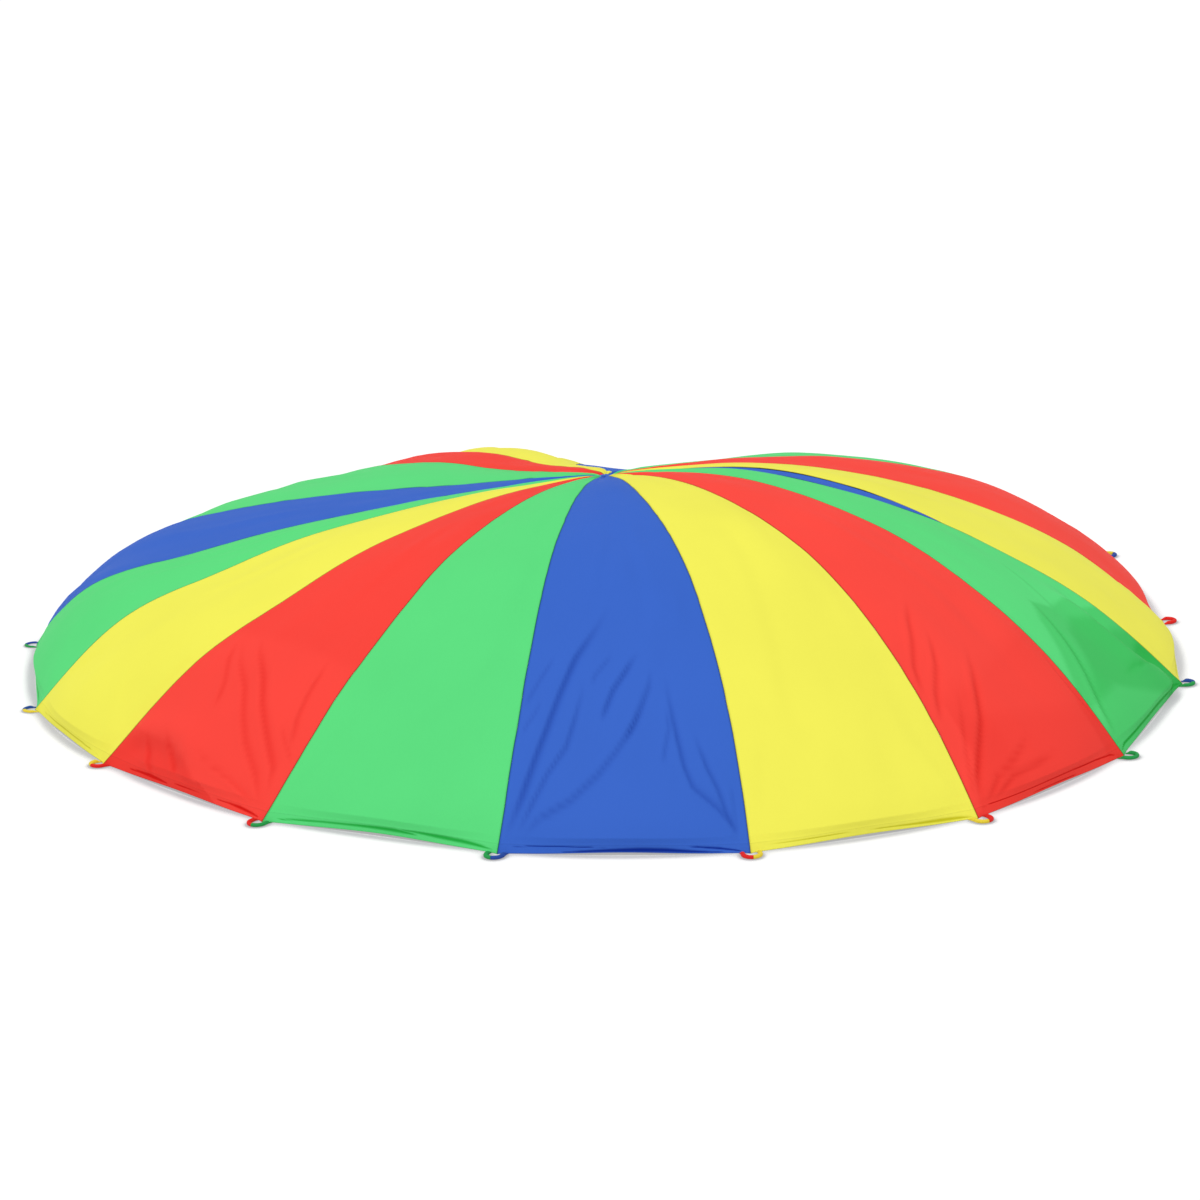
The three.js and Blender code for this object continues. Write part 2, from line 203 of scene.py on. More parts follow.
def outward(out, bearing):
    """The canopy's outward normals."""
    high = np.minimum(out + NORMAL_STEP, 1)
    low = np.maximum(out - NORMAL_STEP, NORMAL_STEP / 2)
    side = np.minimum(2 * NORMAL_STEP / np.maximum(out, 0.005), 0.1)
    along = canopy(high, bearing) - canopy(low, bearing)
    around = canopy(out, bearing + side) - canopy(out, bearing - side)
    n = np.cross(along, around)
    return n / np.linalg.norm(n, axis=-1, keepdims=True)


def seam_bearing(seam):
    """The bearing at which a seam starts; seam 0 is right of gore 0."""
    return (seam + 0.5) * STEP


def gusset_half_angle(out):
    """Half of the gusset's width, as an angle, and 0 clear of it."""
    share = (out * RIM - GUSSET_START) / GUSSET_LENGTH
    inside = (share > 0) & (share < 1)
    rounded = np.sin(np.pi * np.clip(share, 0, 1))
    half = GUSSET_HALF_WIDTH * rounded * (1 + GUSSET_LEAN * (2 * share - 1))
    return np.where(inside, half / (out * RIM), 0.0)


# ---- smooth value noise over a plane, the same in every run

def lattice(ix, iy, seed):
    """A value from -1 to 1 for each point of a grid, by an integer hash."""
    n = (ix * 374761393 + iy * 668265263 + seed * 1442695041) & 0xFFFFFFFF
    n = ((n ^ (n >> 13)) * 1274126177) & 0xFFFFFFFF
    return ((n ^ (n >> 16)) & 0xFFFF) / 32767.5 - 1


def value_noise(x, y, seed):
    ix, iy = np.floor(x).astype(np.int64), np.floor(y).astype(np.int64)
    fx, fy = x - ix, y - iy
    fx, fy = fx**3 * (fx * (fx * 6 - 15) + 10), fy**3 * (fy * (fy * 6 - 15) + 10)
    a, b = lattice(ix, iy, seed), lattice(ix + 1, iy, seed)
    c, d = lattice(ix, iy + 1, seed), lattice(ix + 1, iy + 1, seed)
    return (a * (1 - fx) + b * fx) * (1 - fy) + (c * (1 - fx) + d * fx) * fy


# ---- folds. Each is a line on a gore, of points (share of the way across, distance up from the hem
# in mm), by which the cloth steps down to the right of the line: (step mm, half width mm, points)
FOLDS = {
    0: [
        (7.5, 15, [(0.01, 20), (0.06, 145), (0.10, 250), (0.14, 345), (0.18, 440), (0.25, 575),
             (0.37, 700), (0.46, 800)]),
        (5.0, 11, [(0.06, 40), (0.11, 130), (0.17, 220), (0.24, 290), (0.27, 370), (0.30, 460),
             (0.27, 515)]),
        (4.5, 13, [(0.08, 35), (0.15, 100), (0.28, 150), (0.39, 220), (0.47, 285), (0.55, 360),
             (0.59, 445), (0.62, 515)]),
        (6.5, 12, [(0.39, 360), (0.41, 400), (0.45, 465), (0.52, 535), (0.60, 610)]),
        (3.0, 9, [(0.34, 480), (0.36, 515), (0.42, 565), (0.46, 600)]),
        (3.0, 9, [(0.01, 400), (0.07, 490), (0.12, 555), (0.14, 600)]),
        (2.6, 8, [(0.02, 320), (0.08, 395), (0.10, 440)]),
        (4.5, 11, [(0.50, 300), (0.52, 330), (0.58, 400), (0.63, 480), (0.65, 550)]),
        (5.5, 13, [(0.97, 40), (0.88, 125), (0.79, 180), (0.76, 240), (0.74, 330), (0.73, 385),
             (0.72, 455), (0.72, 530)]),
        (5.0, 12, [(0.96, 35), (0.92, 105), (0.89, 180), (0.86, 230), (0.83, 305), (0.82, 350)]),
        (3.2, 10, [(0.67, 240), (0.68, 280), (0.71, 350), (0.70, 420)]),
        (2.6, 7, [(0.95, 45), (0.95, 125), (0.95, 200)]),
        (3.0, 30, [(0.25, 650), (0.36, 860), (0.44, 1100), (0.47, 1400)]),
        (-3.0, 34, [(0.62, 600), (0.70, 800), (0.66, 1100), (0.60, 1350)]),
    ],
    1: [
        (2.6, 11, [(0.02, 60), (0.06, 150), (0.10, 260), (0.12, 360)]),
        (2.2, 13, [(0.97, 60), (0.90, 160), (0.84, 280), (0.80, 380)]),
        (3.0, 40, [(0.25, 300), (0.34, 620), (0.45, 1000), (0.5, 1300)]),
    ],
    2: [
        (7.5, 15, [(0.03, 25), (0.07, 105), (0.16, 185), (0.25, 250), (0.32, 320), (0.41, 400),
             (0.50, 480)]),
        (3.4, 8, [(0.01, 40), (0.06, 140), (0.12, 230), (0.19, 300), (0.24, 360)]),
        (5.5, 13, [(0.03, 270), (0.10, 360), (0.20, 440), (0.26, 505), (0.32, 570)]),
        (5.5, 13, [(0.02, 360), (0.07, 455), (0.17, 545), (0.24, 610), (0.38, 700)]),
        (3.8, 12, [(0.07, 30), (0.18, 95), (0.32, 130), (0.42, 160), (0.48, 190)]),
        (3.8, 12, [(0.11, 35), (0.26, 85), (0.41, 90), (0.51, 100), (0.60, 120)]),
        (3.6, 9, [(0.99, 90), (0.95, 215), (0.95, 290), (0.98, 380)]),
        (3.0, 45, [(0.62, 420), (0.66, 700), (0.60, 1000), (0.55, 1300)]),
    ],
    3: [
        (6.5, 14, [(0.03, 45), (0.07, 130), (0.15, 230), (0.20, 305), (0.27, 400), (0.40, 520)]),
        (34.0, 88, [(0.97, 20), (0.85, 110), (0.74, 200), (0.75, 300), (0.80, 390), (0.88, 520)]),
        (4.0, 15, [(0.95, 60), (0.80, 120), (0.60, 150), (0.42, 150)]),
        (3.0, 14, [(0.50, 420), (0.62, 560), (0.70, 680)]),
    ],
    13: [
        (3.4, 13, [(0.03, 60), (0.10, 170), (0.20, 260), (0.26, 330)]),
        (3.0, 14, [(0.95, 60), (0.80, 130), (0.66, 200), (0.55, 300)]),
        (3.2, 40, [(0.30, 500), (0.42, 800), (0.50, 1100)]),
    ],
    14: [
        (5.5, 14, [(0.96, 20), (0.84, 105), (0.70, 170), (0.59, 230), (0.46, 305), (0.28, 375),
             (0.11, 455)]),
        (7.0, 14, [(0.96, 50), (0.90, 130), (0.78, 200), (0.64, 275), (0.52, 345), (0.36, 415),
             (0.20, 490)]),
        (4.4, 13, [(0.40, 220), (0.38, 245), (0.32, 300), (0.20, 365), (0.10, 440)]),
        (4.4, 12, [(0.93, 180), (0.87, 265), (0.84, 345), (0.83, 395), (0.80, 470)]),
        (3.2, 7, [(0.98, 150), (0.89, 195), (0.80, 245)]),
        (20.0, 45, [(0.00, 70), (0.12, 100), (0.24, 115), (0.36, 110), (0.46, 85), (0.58, 45)]),
        (4.0, 13, [(0.32, 15), (0.26, 40), (0.15, 90), (0.10, 130)]),
        (4.0, 13, [(0.45, 35), (0.42, 55), (0.30, 105), (0.22, 140)]),
        (3.4, 9, [(0.92, 30), (0.87, 45), (0.74, 75), (0.57, 100), (0.45, 130)]),
        (4.0, 40, [(0.60, 620), (0.62, 900), (0.55, 1200), (0.5, 1400)]),
    ],
    15: [
        (2.8, 12, [(0.03, 60), (0.09, 160), (0.16, 280), (0.20, 380)]),
        (3.0, 12, [(0.97, 60), (0.90, 170), (0.84, 280), (0.80, 400)]),
        (3.4, 12, [(0.50, 300), (0.62, 380), (0.70, 470)]),
        (2.8, 11, [(0.72, 430), (0.78, 520), (0.86, 590)]),
        (3.4, 45, [(0.40, 600), (0.46, 900), (0.5, 1200)]),
    ],
}
# Painted shade to the right of a line, where the cloth turns from the light, and painted light
# where
# the strength is below 0: (strength, feather mm, shares of the line over which it starts and ends,
# points)
PAINTED_SHADE_AND_LIGHT = {
    2: [
        (0.25, 20, (0, 0.4), [(0.02, 20), (0.05, 70), (0.10, 180), (0.10, 300), (0.06, 380)]),
        (0.05, 60, (0.5, 0), [(0.18, 700), (0.26, 460), (0.34, 320), (0.36, 160), (0.34, 20)]),
        (0.18, 30, (0, 0.4), [(0.88, 20), (0.90, 160), (0.94, 240), (0.99, 330)]),
    ],
    3: [
        (0.40, 24, (0, 0), [(0.0, 230), (0.10, 330), (0.20, 440), (0.36, 510), (0.50, 455),
             (0.72, 440), (0.90, 380), (1.0, 340)]),
        (0.26, 45, (0, 0), [(0.0, 100), (0.12, 200), (0.25, 290), (0.36, 370), (0.55, 400),
             (0.74, 330), (1.0, 250)]),
        (-0.26, 35, (0, 0), [(0.0, 165), (0.3, 180), (0.45, 130), (0.62, 80), (0.80, 30)]),
        (0.32, 35, (0, 0), [(0.78, 10), (0.80, 110), (0.86, 170), (1.0, 190)]),
    ],
    14: [
        (-0.10, 60, (0, 0), [(0.0, 500), (0.5, 520), (1.0, 480)]),
        (0.34, 22, (0, 0), [(0.0, 118), (0.3, 130), (0.46, 100), (0.58, 55)]),
    ],
}
# Gores whose colour is made deeper all over
DEEPER_GORES = {9: 0.18, 14: 0.18}
# Creases along the folded hem, sunk into the cloth and with painted shade in them, as strokes of
# points (share, distance up from the hem and depth, mm)
HEM_CREASES = {
    0: [
        [(0.24, 3, 0), (0.34, 5, 6), (0.45, 7, 10), (0.58, 9, 16), (0.68, 9, 14), (0.78, 6, 8),
             (0.92, 3, 0)],
        [(0.04, 18, 0), (0.12, 21, 3), (0.24, 22, 4), (0.36, 19, 3), (0.46, 15, 0)],
        [(0.74, 21, 0), (0.80, 20, 5), (0.88, 15, 7), (0.95, 8, 4), (0.99, 3, 0)],
    ],
    1: [
        [(0.50, 12, 0), (0.60, 13, 4), (0.72, 12, 7), (0.84, 11, 12), (0.93, 9, 8), (0.99, 6, 0)],
        [(0.06, 16, 0), (0.20, 17, 3), (0.40, 15, 3), (0.48, 13, 0)],
    ],
    2: [
        [(0.03, 20, 0), (0.10, 25, 2.5), (0.40, 26, 3), (0.62, 27, 4), (0.80, 25, 5),
             (0.92, 18, 4), (0.98, 8, 0)],
        [(0.30, 6, 0), (0.45, 8, 3), (0.60, 7, 2.5), (0.70, 5, 0)],
    ],
    3: [
        [(0.02, 10, 0), (0.08, 20, 7), (0.30, 24, 9), (0.55, 25, 11), (0.80, 22, 10),
             (0.93, 14, 7), (0.99, 5, 0)],
    ],
    13: [
        [(0.08, 12, 0), (0.20, 15, 3), (0.45, 17, 5), (0.70, 15, 4), (0.92, 9, 0)],
    ],
    14: [
        [(0.14, 12, 0), (0.22, 15, 5), (0.30, 15, 10), (0.37, 12, 7), (0.44, 8, 0)],
        [(0.70, 15, 0), (0.78, 17, 4), (0.85, 15, 9), (0.92, 10, 7), (0.98, 5, 0)],
        [(0.40, 14, 0), (0.55, 17, 3), (0.72, 17, 0)],
    ],
    15: [
        [(0.04, 8, 0), (0.12, 13, 5), (0.24, 16, 6), (0.36, 16, 7), (0.48, 17, 11),
             (0.57, 17, 13), (0.64, 14, 6), (0.68, 11, 0)],
        [(0.58, 23, 0), (0.66, 22, 7), (0.76, 20, 13), (0.86, 17, 12), (0.93, 12, 8), (0.98, 6, 0)],
    ],
}


def folds_of(gore):
    """A gore's own folds, or guessed ones where the camera doesn't see them."""
    if gore in FOLDS:
        return FOLDS[gore]
    rng = np.random.default_rng(gore + 50)
    rows = []
    for side in (0, 1):
        for k in range(3):
            lean, far = rng.uniform(0.08, 0.16) * (k + 1), rng.uniform(260, 420)
            ends = [(0.02, 40), (0.3 * lean, 0.4 * far), (0.75 * lean, 0.75 * far), (lean, far)]
            points = [(1 - x, y) if side else (x, y) for x, y in ends]
            rows.append((rng.uniform(2.5, 5.0), rng.uniform(11, 15), points))
    rows.append((rng.uniform(-4, 4), 45, [(0.4, 500), (0.5, 800), (0.45, 1200)]))
    return rows


def beside_line(share, down, width, points):
    """How far every place of a gore lies to the right of a line of points, in metres, and how
    far along the line it is, from 0 to 1."""
    x, y = (share - 0.5) * width, down
    line = np.array([((a - 0.5) * STEP * (RIM - b / 1000), b / 1000) for a, b in points])
    length = np.linalg.norm(np.diff(line, axis=0), axis=1)
    start = np.concatenate([[0], np.cumsum(length)])
    best = np.full(x.shape, 1e9)
    aside, along = np.zeros_like(x), np.zeros_like(x)
    for k in range(len(length)):
        d = (line[k + 1] - line[k]) / length[k]
        t = np.clip((x - line[k, 0]) * d[0] + (y - line[k, 1]) * d[1], 0, length[k])
        dx, dy = x - line[k, 0] - t * d[0], y - line[k, 1] - t * d[1]
        gap = np.hypot(dx, dy)
        nearer = gap < best
        best = np.where(nearer, gap, best)
        aside = np.where(nearer, np.copysign(gap, dx * d[1] - dy * d[0]), aside)
        along = np.where(nearer, start[k] + t, along)
    return aside, along / start[-1]


# Columns across the gores that the camera sees closely, and across the others
FINE_GORES = {0: 84, 2: 80, 14: 80, 3: 56}
MEDIUM_GORES = {1: 36, 13: 34, 15: 36}
PLAIN_COLUMNS = 17
# The folds' steps are raised by this
FOLD_GAIN = 1.65
# The least half width of a fold that a coarse mesh carries, and the least that has no painted shade
# beside it, in mm
COARSE_FOLD = 24
BROAD_FOLD = 20
# The painted shade beside a fold: how deep for each mm of its step, how far to the right of it,
# and how far it spreads to the left and right, as shares of the fold's half width
FOLD_SHADE_DEPTH = 0.068
FOLD_SHADE_SHIFT = 0.15
FOLD_SHADE_SPREADS = (0.4, 0.85)
# Soft undulations of slack cloth, longer along the gore than across it: height, size across, shift
# from gore to gore, size along, seed
SLACK = [(0.0075, 0.21, 7.3, 0.42, 11), (0.0028, 0.085, 3.1, 0.19, 31)]
GATHER_HEIGHT = 0.0060


def detail(gore, share, down, width):
    """Height of the folds over the plain canopy, and how deep the colour is in them: painted shade
    beside the fine folds and along the lines of painted shade and light, and deeper whole gores.
    down is the distance up from the hem, in metres."""
    wide = (share - 0.5) * width
    from_crown = RIM - down
    edge = np.minimum(share, 1 - share) * width
    d, deep = np.zeros_like(share), np.zeros_like(share)
    fine = gore in FINE_GORES
    for step, half, points in folds_of(gore):
        half = half if fine else max(half, COARSE_FOLD)
        aside, along = beside_line(share, down, width, points)
        off = aside / (half / 1000)
        fade = smooth(along / 0.2) * smooth((1 - along) / 0.35)
        fade = fade * smooth(edge / (0.012 + half / 5000))
        d -= FOLD_GAIN * step / 1000 * off * np.exp(-off * off) * fade
        # painted shade on the side of a fine fold that turns from the light
        if fine and half < BROAD_FOLD:
            spread = np.where(off < FOLD_SHADE_SHIFT, *FOLD_SHADE_SPREADS)
            line = np.exp(-(((off - FOLD_SHADE_SHIFT) / spread) ** 2))
            deep += FOLD_SHADE_DEPTH * abs(step) * line * fade
    deep += DEEPER_GORES.get(gore, 0)
    # painted shade to the right of these lines, and painted light where the strength is below 0
    for strength, feather, (starts, ends), points in PAINTED_SHADE_AND_LIGHT.get(gore, []):
        aside, along = beside_line(share, down, width, points)
        fade = smooth(along / starts) if starts else 1
        fade = fade * smooth((1 - along) / ends) if ends else fade
        deep += strength * smooth(aside * 1000 / feather) * fade
    d *= smooth((down - 0.006) / 0.04)
    calm = smooth(down / 0.25) * smooth((from_crown - 0.1) / 0.5)
    calm = calm * smooth(edge / np.minimum(0.09, 0.35 * width))
    for high, across, shift, long, seed in SLACK:
        d += high * calm * value_noise(wide / across + shift * gore, down / long, seed + gore)
    # gathers that run down from the crown
    near = smooth((from_crown - 0.025) / 0.05) * (1 - smooth((from_crown - 0.09) / 0.34))
    wave = 1.3 * value_noise(from_crown / 0.10, share * 0 + gore, 77)
    gathers = GATHER_HEIGHT * near * np.sin(share * 4 * np.pi + gore * 1.7 + wave)
    d += gathers * smooth(edge / np.minimum(0.05, 0.3 * width))
    return d, np.clip(deep, 0, 1)


def hem_creases(gore, share, down):
    """1 in the creases along a gore's hem, and 0 clear of them."""
    lean = 0.03 * (gore % 4)
    strokes = HEM_CREASES.get(gore, [
        [(0.06 + lean, 12, 0), (0.2, 15, 5), (0.38, 16, 9), (0.50 + lean, 12, 0)],
        [(0.52, 18, 0), (0.66, 18, 6), (0.82 - lean, 15, 8), (0.97, 6, 0)],
    ])
    deep = np.zeros_like(share)
    for stroke in strokes:
        places, ups, depths = np.array(stroke, float).T
        half = np.interp(share, places, depths, left=0, right=0) / 2
        off = (down * 1000 - np.interp(share, places, ups)) / np.maximum(half, 0.2)
        deep = np.maximum(deep, smooth(half / 1.2) * np.exp(-np.abs(off) ** 3))
    return deep


# Rows of a gore's mesh past its tip, and from the crown to the hem where it is folded
TIP_ROWS_MM = [0.0, 8, 16, 26, 38, 52, 70, 90, 115, 140, 165, 195, 225]
HEM_ROWS_MM = [2089, 2099, 2108, 2115, 2121, 2126, 2129.5, 2132, 2134.5, 2138, 2142, 2147, 2151,
               2152.6, 2155, 2158, 2161, 2164, 2167, 2170, 2173, 2176, 2178, 2180]
# Columns at a seam's allowance and stitches
EDGE_COLUMNS = np.array([0.0, 1.2, 3.0, 5.5, 6.5, 9.0, 16.0]) / 1000
# Seams that the camera sees from behind, which are gathered more
FAR_SEAMS = range(4, 12)
FAR_SLACK = 0.0030


def gore_rows(gore):
    """How far out the rows of a gore's mesh lie, as shares of the way to the hem."""
    fine = gore in FINE_GORES
    tip = np.array(TIP_ROWS_MM) / 1000 + TIP_RADIUS
    split = 1.42 if fine else 1.955
    middle = np.arange(0.28, split, 0.0335)
    lower = np.arange(split, 2.082, 0.0128 if fine else 0.022)
    return np.concatenate([tip, middle, lower, np.array(HEM_ROWS_MM) / 1000]) / RIM


def columns(gore, width):
    """Distances across a gore from its left seam, closer together at its seams."""
    squeeze = min(1.0, 0.18 * width / EDGE_COLUMNS[-1])
    left = EDGE_COLUMNS * squeeze
    count = FINE_GORES.get(gore, MEDIUM_GORES.get(gore, PLAIN_COLUMNS))
    inner = np.linspace(left[-1], width - left[-1], count + 2)[1:-1]
    return np.concatenate([left, inner, width - left[::-1]])


def seam_waver(seam, out):
    """Sideways wander of a seam where its stitches gather it, as a bearing."""
    place = np.asarray(out, float) * RIM
    ends = smooth((place - 0.05) / 0.08) * smooth((RIM - 0.05 - place) / 0.15)
    fine = value_noise(place / 0.045, place * 0 + seam % GORES, 5)
    broad = value_noise(place / 0.15, place * 0 + seam % GORES, 6)
    slack = FAR_SLACK if seam % GORES in FAR_SEAMS else 0.0
    gathered = 0.0010 + slack + 0.0050 * np.exp(-place / 0.16)
    return ends * (gathered * fine + (0.0012 + slack) * broad) / place


def add_mesh(name, points, faces, attributes=None, smooth_faces=True):
    mesh = bpy.data.meshes.new(name)
    points = [tuple(p) for p in np.asarray(points, float)]
    mesh.from_pydata(points, [], [tuple(int(i) for i in f) for f in faces])
    for key, values in (attributes or {}).items():
        values = np.asarray(values, np.float32).ravel()
        mesh.attributes.new(key, "FLOAT", "POINT").data.foreach_set("value", values)
    if smooth_faces:
        mesh.polygons.foreach_set("use_smooth", [True] * len(mesh.polygons))
    mesh.update()
    obj = bpy.data.objects.new(name, mesh)
    bpy.context.scene.collection.objects.link(obj)
    return obj


def grid_faces(rows, cols, start=0, wrap=False):
    r, c = np.meshgrid(np.arange(rows - 1), np.arange(cols if wrap else cols - 1), indexing="ij")
    a = start + r * cols + c
    b = start + r * cols + (c + 1) % cols
    return np.stack([a, a + cols, b + cols, b], -1).reshape(-1, 4)


# Heights over the plain cloth: where it is doubled, in a seam's groove and in a crease of the hem
DOUBLED_LIFT = 0.0005
GROOVE_DEPTH = 0.0006
CREASE_DEPTH = 0.0014
# How far up from the hem its creases reach
CREASE_ZONE = 0.045
# The hem's inner fold: (distance up from the hem, depth under the cloth's face)
HEM_INSIDE = [(0.0, 0.0012), (0.0, 0.0024), (0.004, 0.0030), (0.014, 0.0060), (0.027, 0.0060)]


def make_gore(gore):
    outs = gore_rows(gore)
    hem_first = np.searchsorted(outs, 1 - HEM_DEPTH / RIM)
    left, right = seam_bearing(gore - 1), seam_bearing(gore)
    rows = {key: [] for key in ("p", "seam_m", "hem_m", "across_m", "crease_shade", "deep")}

    def add_row(out, up, in_hem, inside):
        """Add a row across the gore, up from the hem. inside is its depth in the hem's inner fold,
        and None on the cloth's face."""
        waver_left, waver_right = seam_waver(gore - 1, out), seam_waver(gore, out)
        gusset = gusset_half_angle(np.array(out))
        start = left + waver_left + (gusset if gore == GUSSET_SEAM + 1 else 0)
        end = right + waver_right - (gusset if gore == GUSSET_SEAM else 0)
        width = (end - start) * out * RIM
        across = columns(gore, width)
        bearing = start + (end - start) * across / width
        share = np.clip((bearing - left) / (right - left), 0.0005, 0.9995)
        # on a seam that runs straight, the surface is read on this gore's side of it
        straight = waver_left == 0 and waver_right == 0
        p = canopy(out, np.clip(bearing, left + 1e-9, right - 1e-9) if straight else bearing)
        n = outward(np.full_like(across, out), bearing)
        if out >= 1:
            n[:, 2] = 0
            n /= np.linalg.norm(n, axis=-1, keepdims=True)
        down = np.full_like(across, up)
        edge = np.minimum(across, width - across)
        clear = np.zeros_like(across)
        if inside is None:
            creased = hem_creases(gore, share, down) if up < CREASE_ZONE else clear
            lift, deep = detail(gore, share, down, (right - left) * out * RIM)
            doubling_and_painted_shade = DOUBLED_LIFT * (1 - smooth((edge - SEAM_ALLOWANCE) / 0.0010))
            lift = lift + doubling_and_painted_shade - GROOVE_DEPTH * (1 - smooth(edge / 0.0016))
            lift = lift - CREASE_DEPTH * creased
            if in_hem:
                lift = lift + DOUBLED_LIFT * smooth(down / 0.004)
        else:
            lift, creased, deep = np.full_like(across, -inside), clear, clear
        rows["p"].append(p + n * lift[:, None])
        rows["seam_m"].append(edge)
        rows["hem_m"].append(down)
        rows["across_m"].append(across - width / 2)
        # the hem's creases, which the material paints with shade
        rows["crease_shade"].append(creased)
        rows["deep"].append(deep)

    for k, out in enumerate(outs):
        add_row(float(out), float((1 - out) * RIM), k >= hem_first, None)
    for up, depth in HEM_INSIDE:
        add_row(1 - up / RIM, up, False, depth)
    p = np.array(rows.pop("p"))
    obj = add_mesh(f"gore_cloth_{gore:02d}", p.reshape(-1, 3), grid_faces(*p.shape[:2]), rows)
    obj.data.materials.append(nylon(GORE_COLOURS[gore]))
    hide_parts(f"gore_{gore:02d}")
    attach(obj, "canopy")
    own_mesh(obj)


# ---- materials

def linear(c):
    """sRGB to linear."""
    return tuple(v / 12.92 if v <= 0.04045 else ((v + 0.055) / 1.055) ** 2.4 for v in c)


def node(tree, kind, **values):
    n = tree.nodes.new(kind)
    for key, value in values.items():
        setattr(n, key, value)
    return n


def math_node(tree, operation, a, b=None, c=None, clamp=False):
    """A math node's output. Each of a, b and c is a number or a socket."""
    n = node(tree, "ShaderNodeMath", operation=operation, use_clamp=clamp)
    for socket, value in zip(n.inputs, (a, b, c)):
        if value is None:
            continue
        if isinstance(value, (int, float)):
            socket.default_value = value
        else:
            tree.links.new(value, socket)
    return n.outputs[0]


def attribute(tree, name):
    return node(tree, "ShaderNodeAttribute", attribute_name=name).outputs["Fac"]


def up_to(tree, distance, at, soft):
    """1 up to a distance, and 0 past at + soft."""
    past = math_node(tree, "DIVIDE", math_node(tree, "SUBTRACT", distance, at), soft, clamp=True)
    return math_node(tree, "SUBTRACT", 1.0, past)


def line_mask(tree, distance, at, half, soft):
    """1 within half of at, and 0 past half + soft."""
    off = math_node(tree, "ABSOLUTE", math_node(tree, "SUBTRACT", distance, at))
    return up_to(tree, off, half, soft)


def dashes(tree, along, pitch):
    """1 in each stitch of a row, and 0 between them."""
    return math_node(tree, "GREATER_THAN", math_node(tree, "PINGPONG", along, pitch), 0.0007)


def noise(tree, coords, **settings):
    n = node(tree, "ShaderNodeTexNoise")
    for key, value in settings.items():
        n.inputs[key].default_value = value
    tree.links.new(coords, n.inputs["Vector"])
    return n.outputs["Fac"]


def tinted(tree, colour, shade):
    """A colour, given as numbers or as a socket, multiplied by one value."""
    mix = node(tree, "ShaderNodeMix", data_type="RGBA", blend_type="MULTIPLY")
    mix.inputs[0].default_value = 1.0
    if isinstance(colour, tuple):
        mix.inputs[6].default_value = (*colour, 1)
    else:
        tree.links.new(colour, mix.inputs[6])
    tree.links.new(shade, mix.inputs[7])
    return mix.outputs[2]


def add_relief(tree, shader, height, strength):
    bump = node(tree, "ShaderNodeBump")
    bump.inputs["Distance"].default_value = 1.0
    bump.inputs["Strength"].default_value = strength
    tree.links.new(height, bump.inputs["Height"])
    tree.links.new(bump.outputs["Normal"], shader.inputs["Normal"])


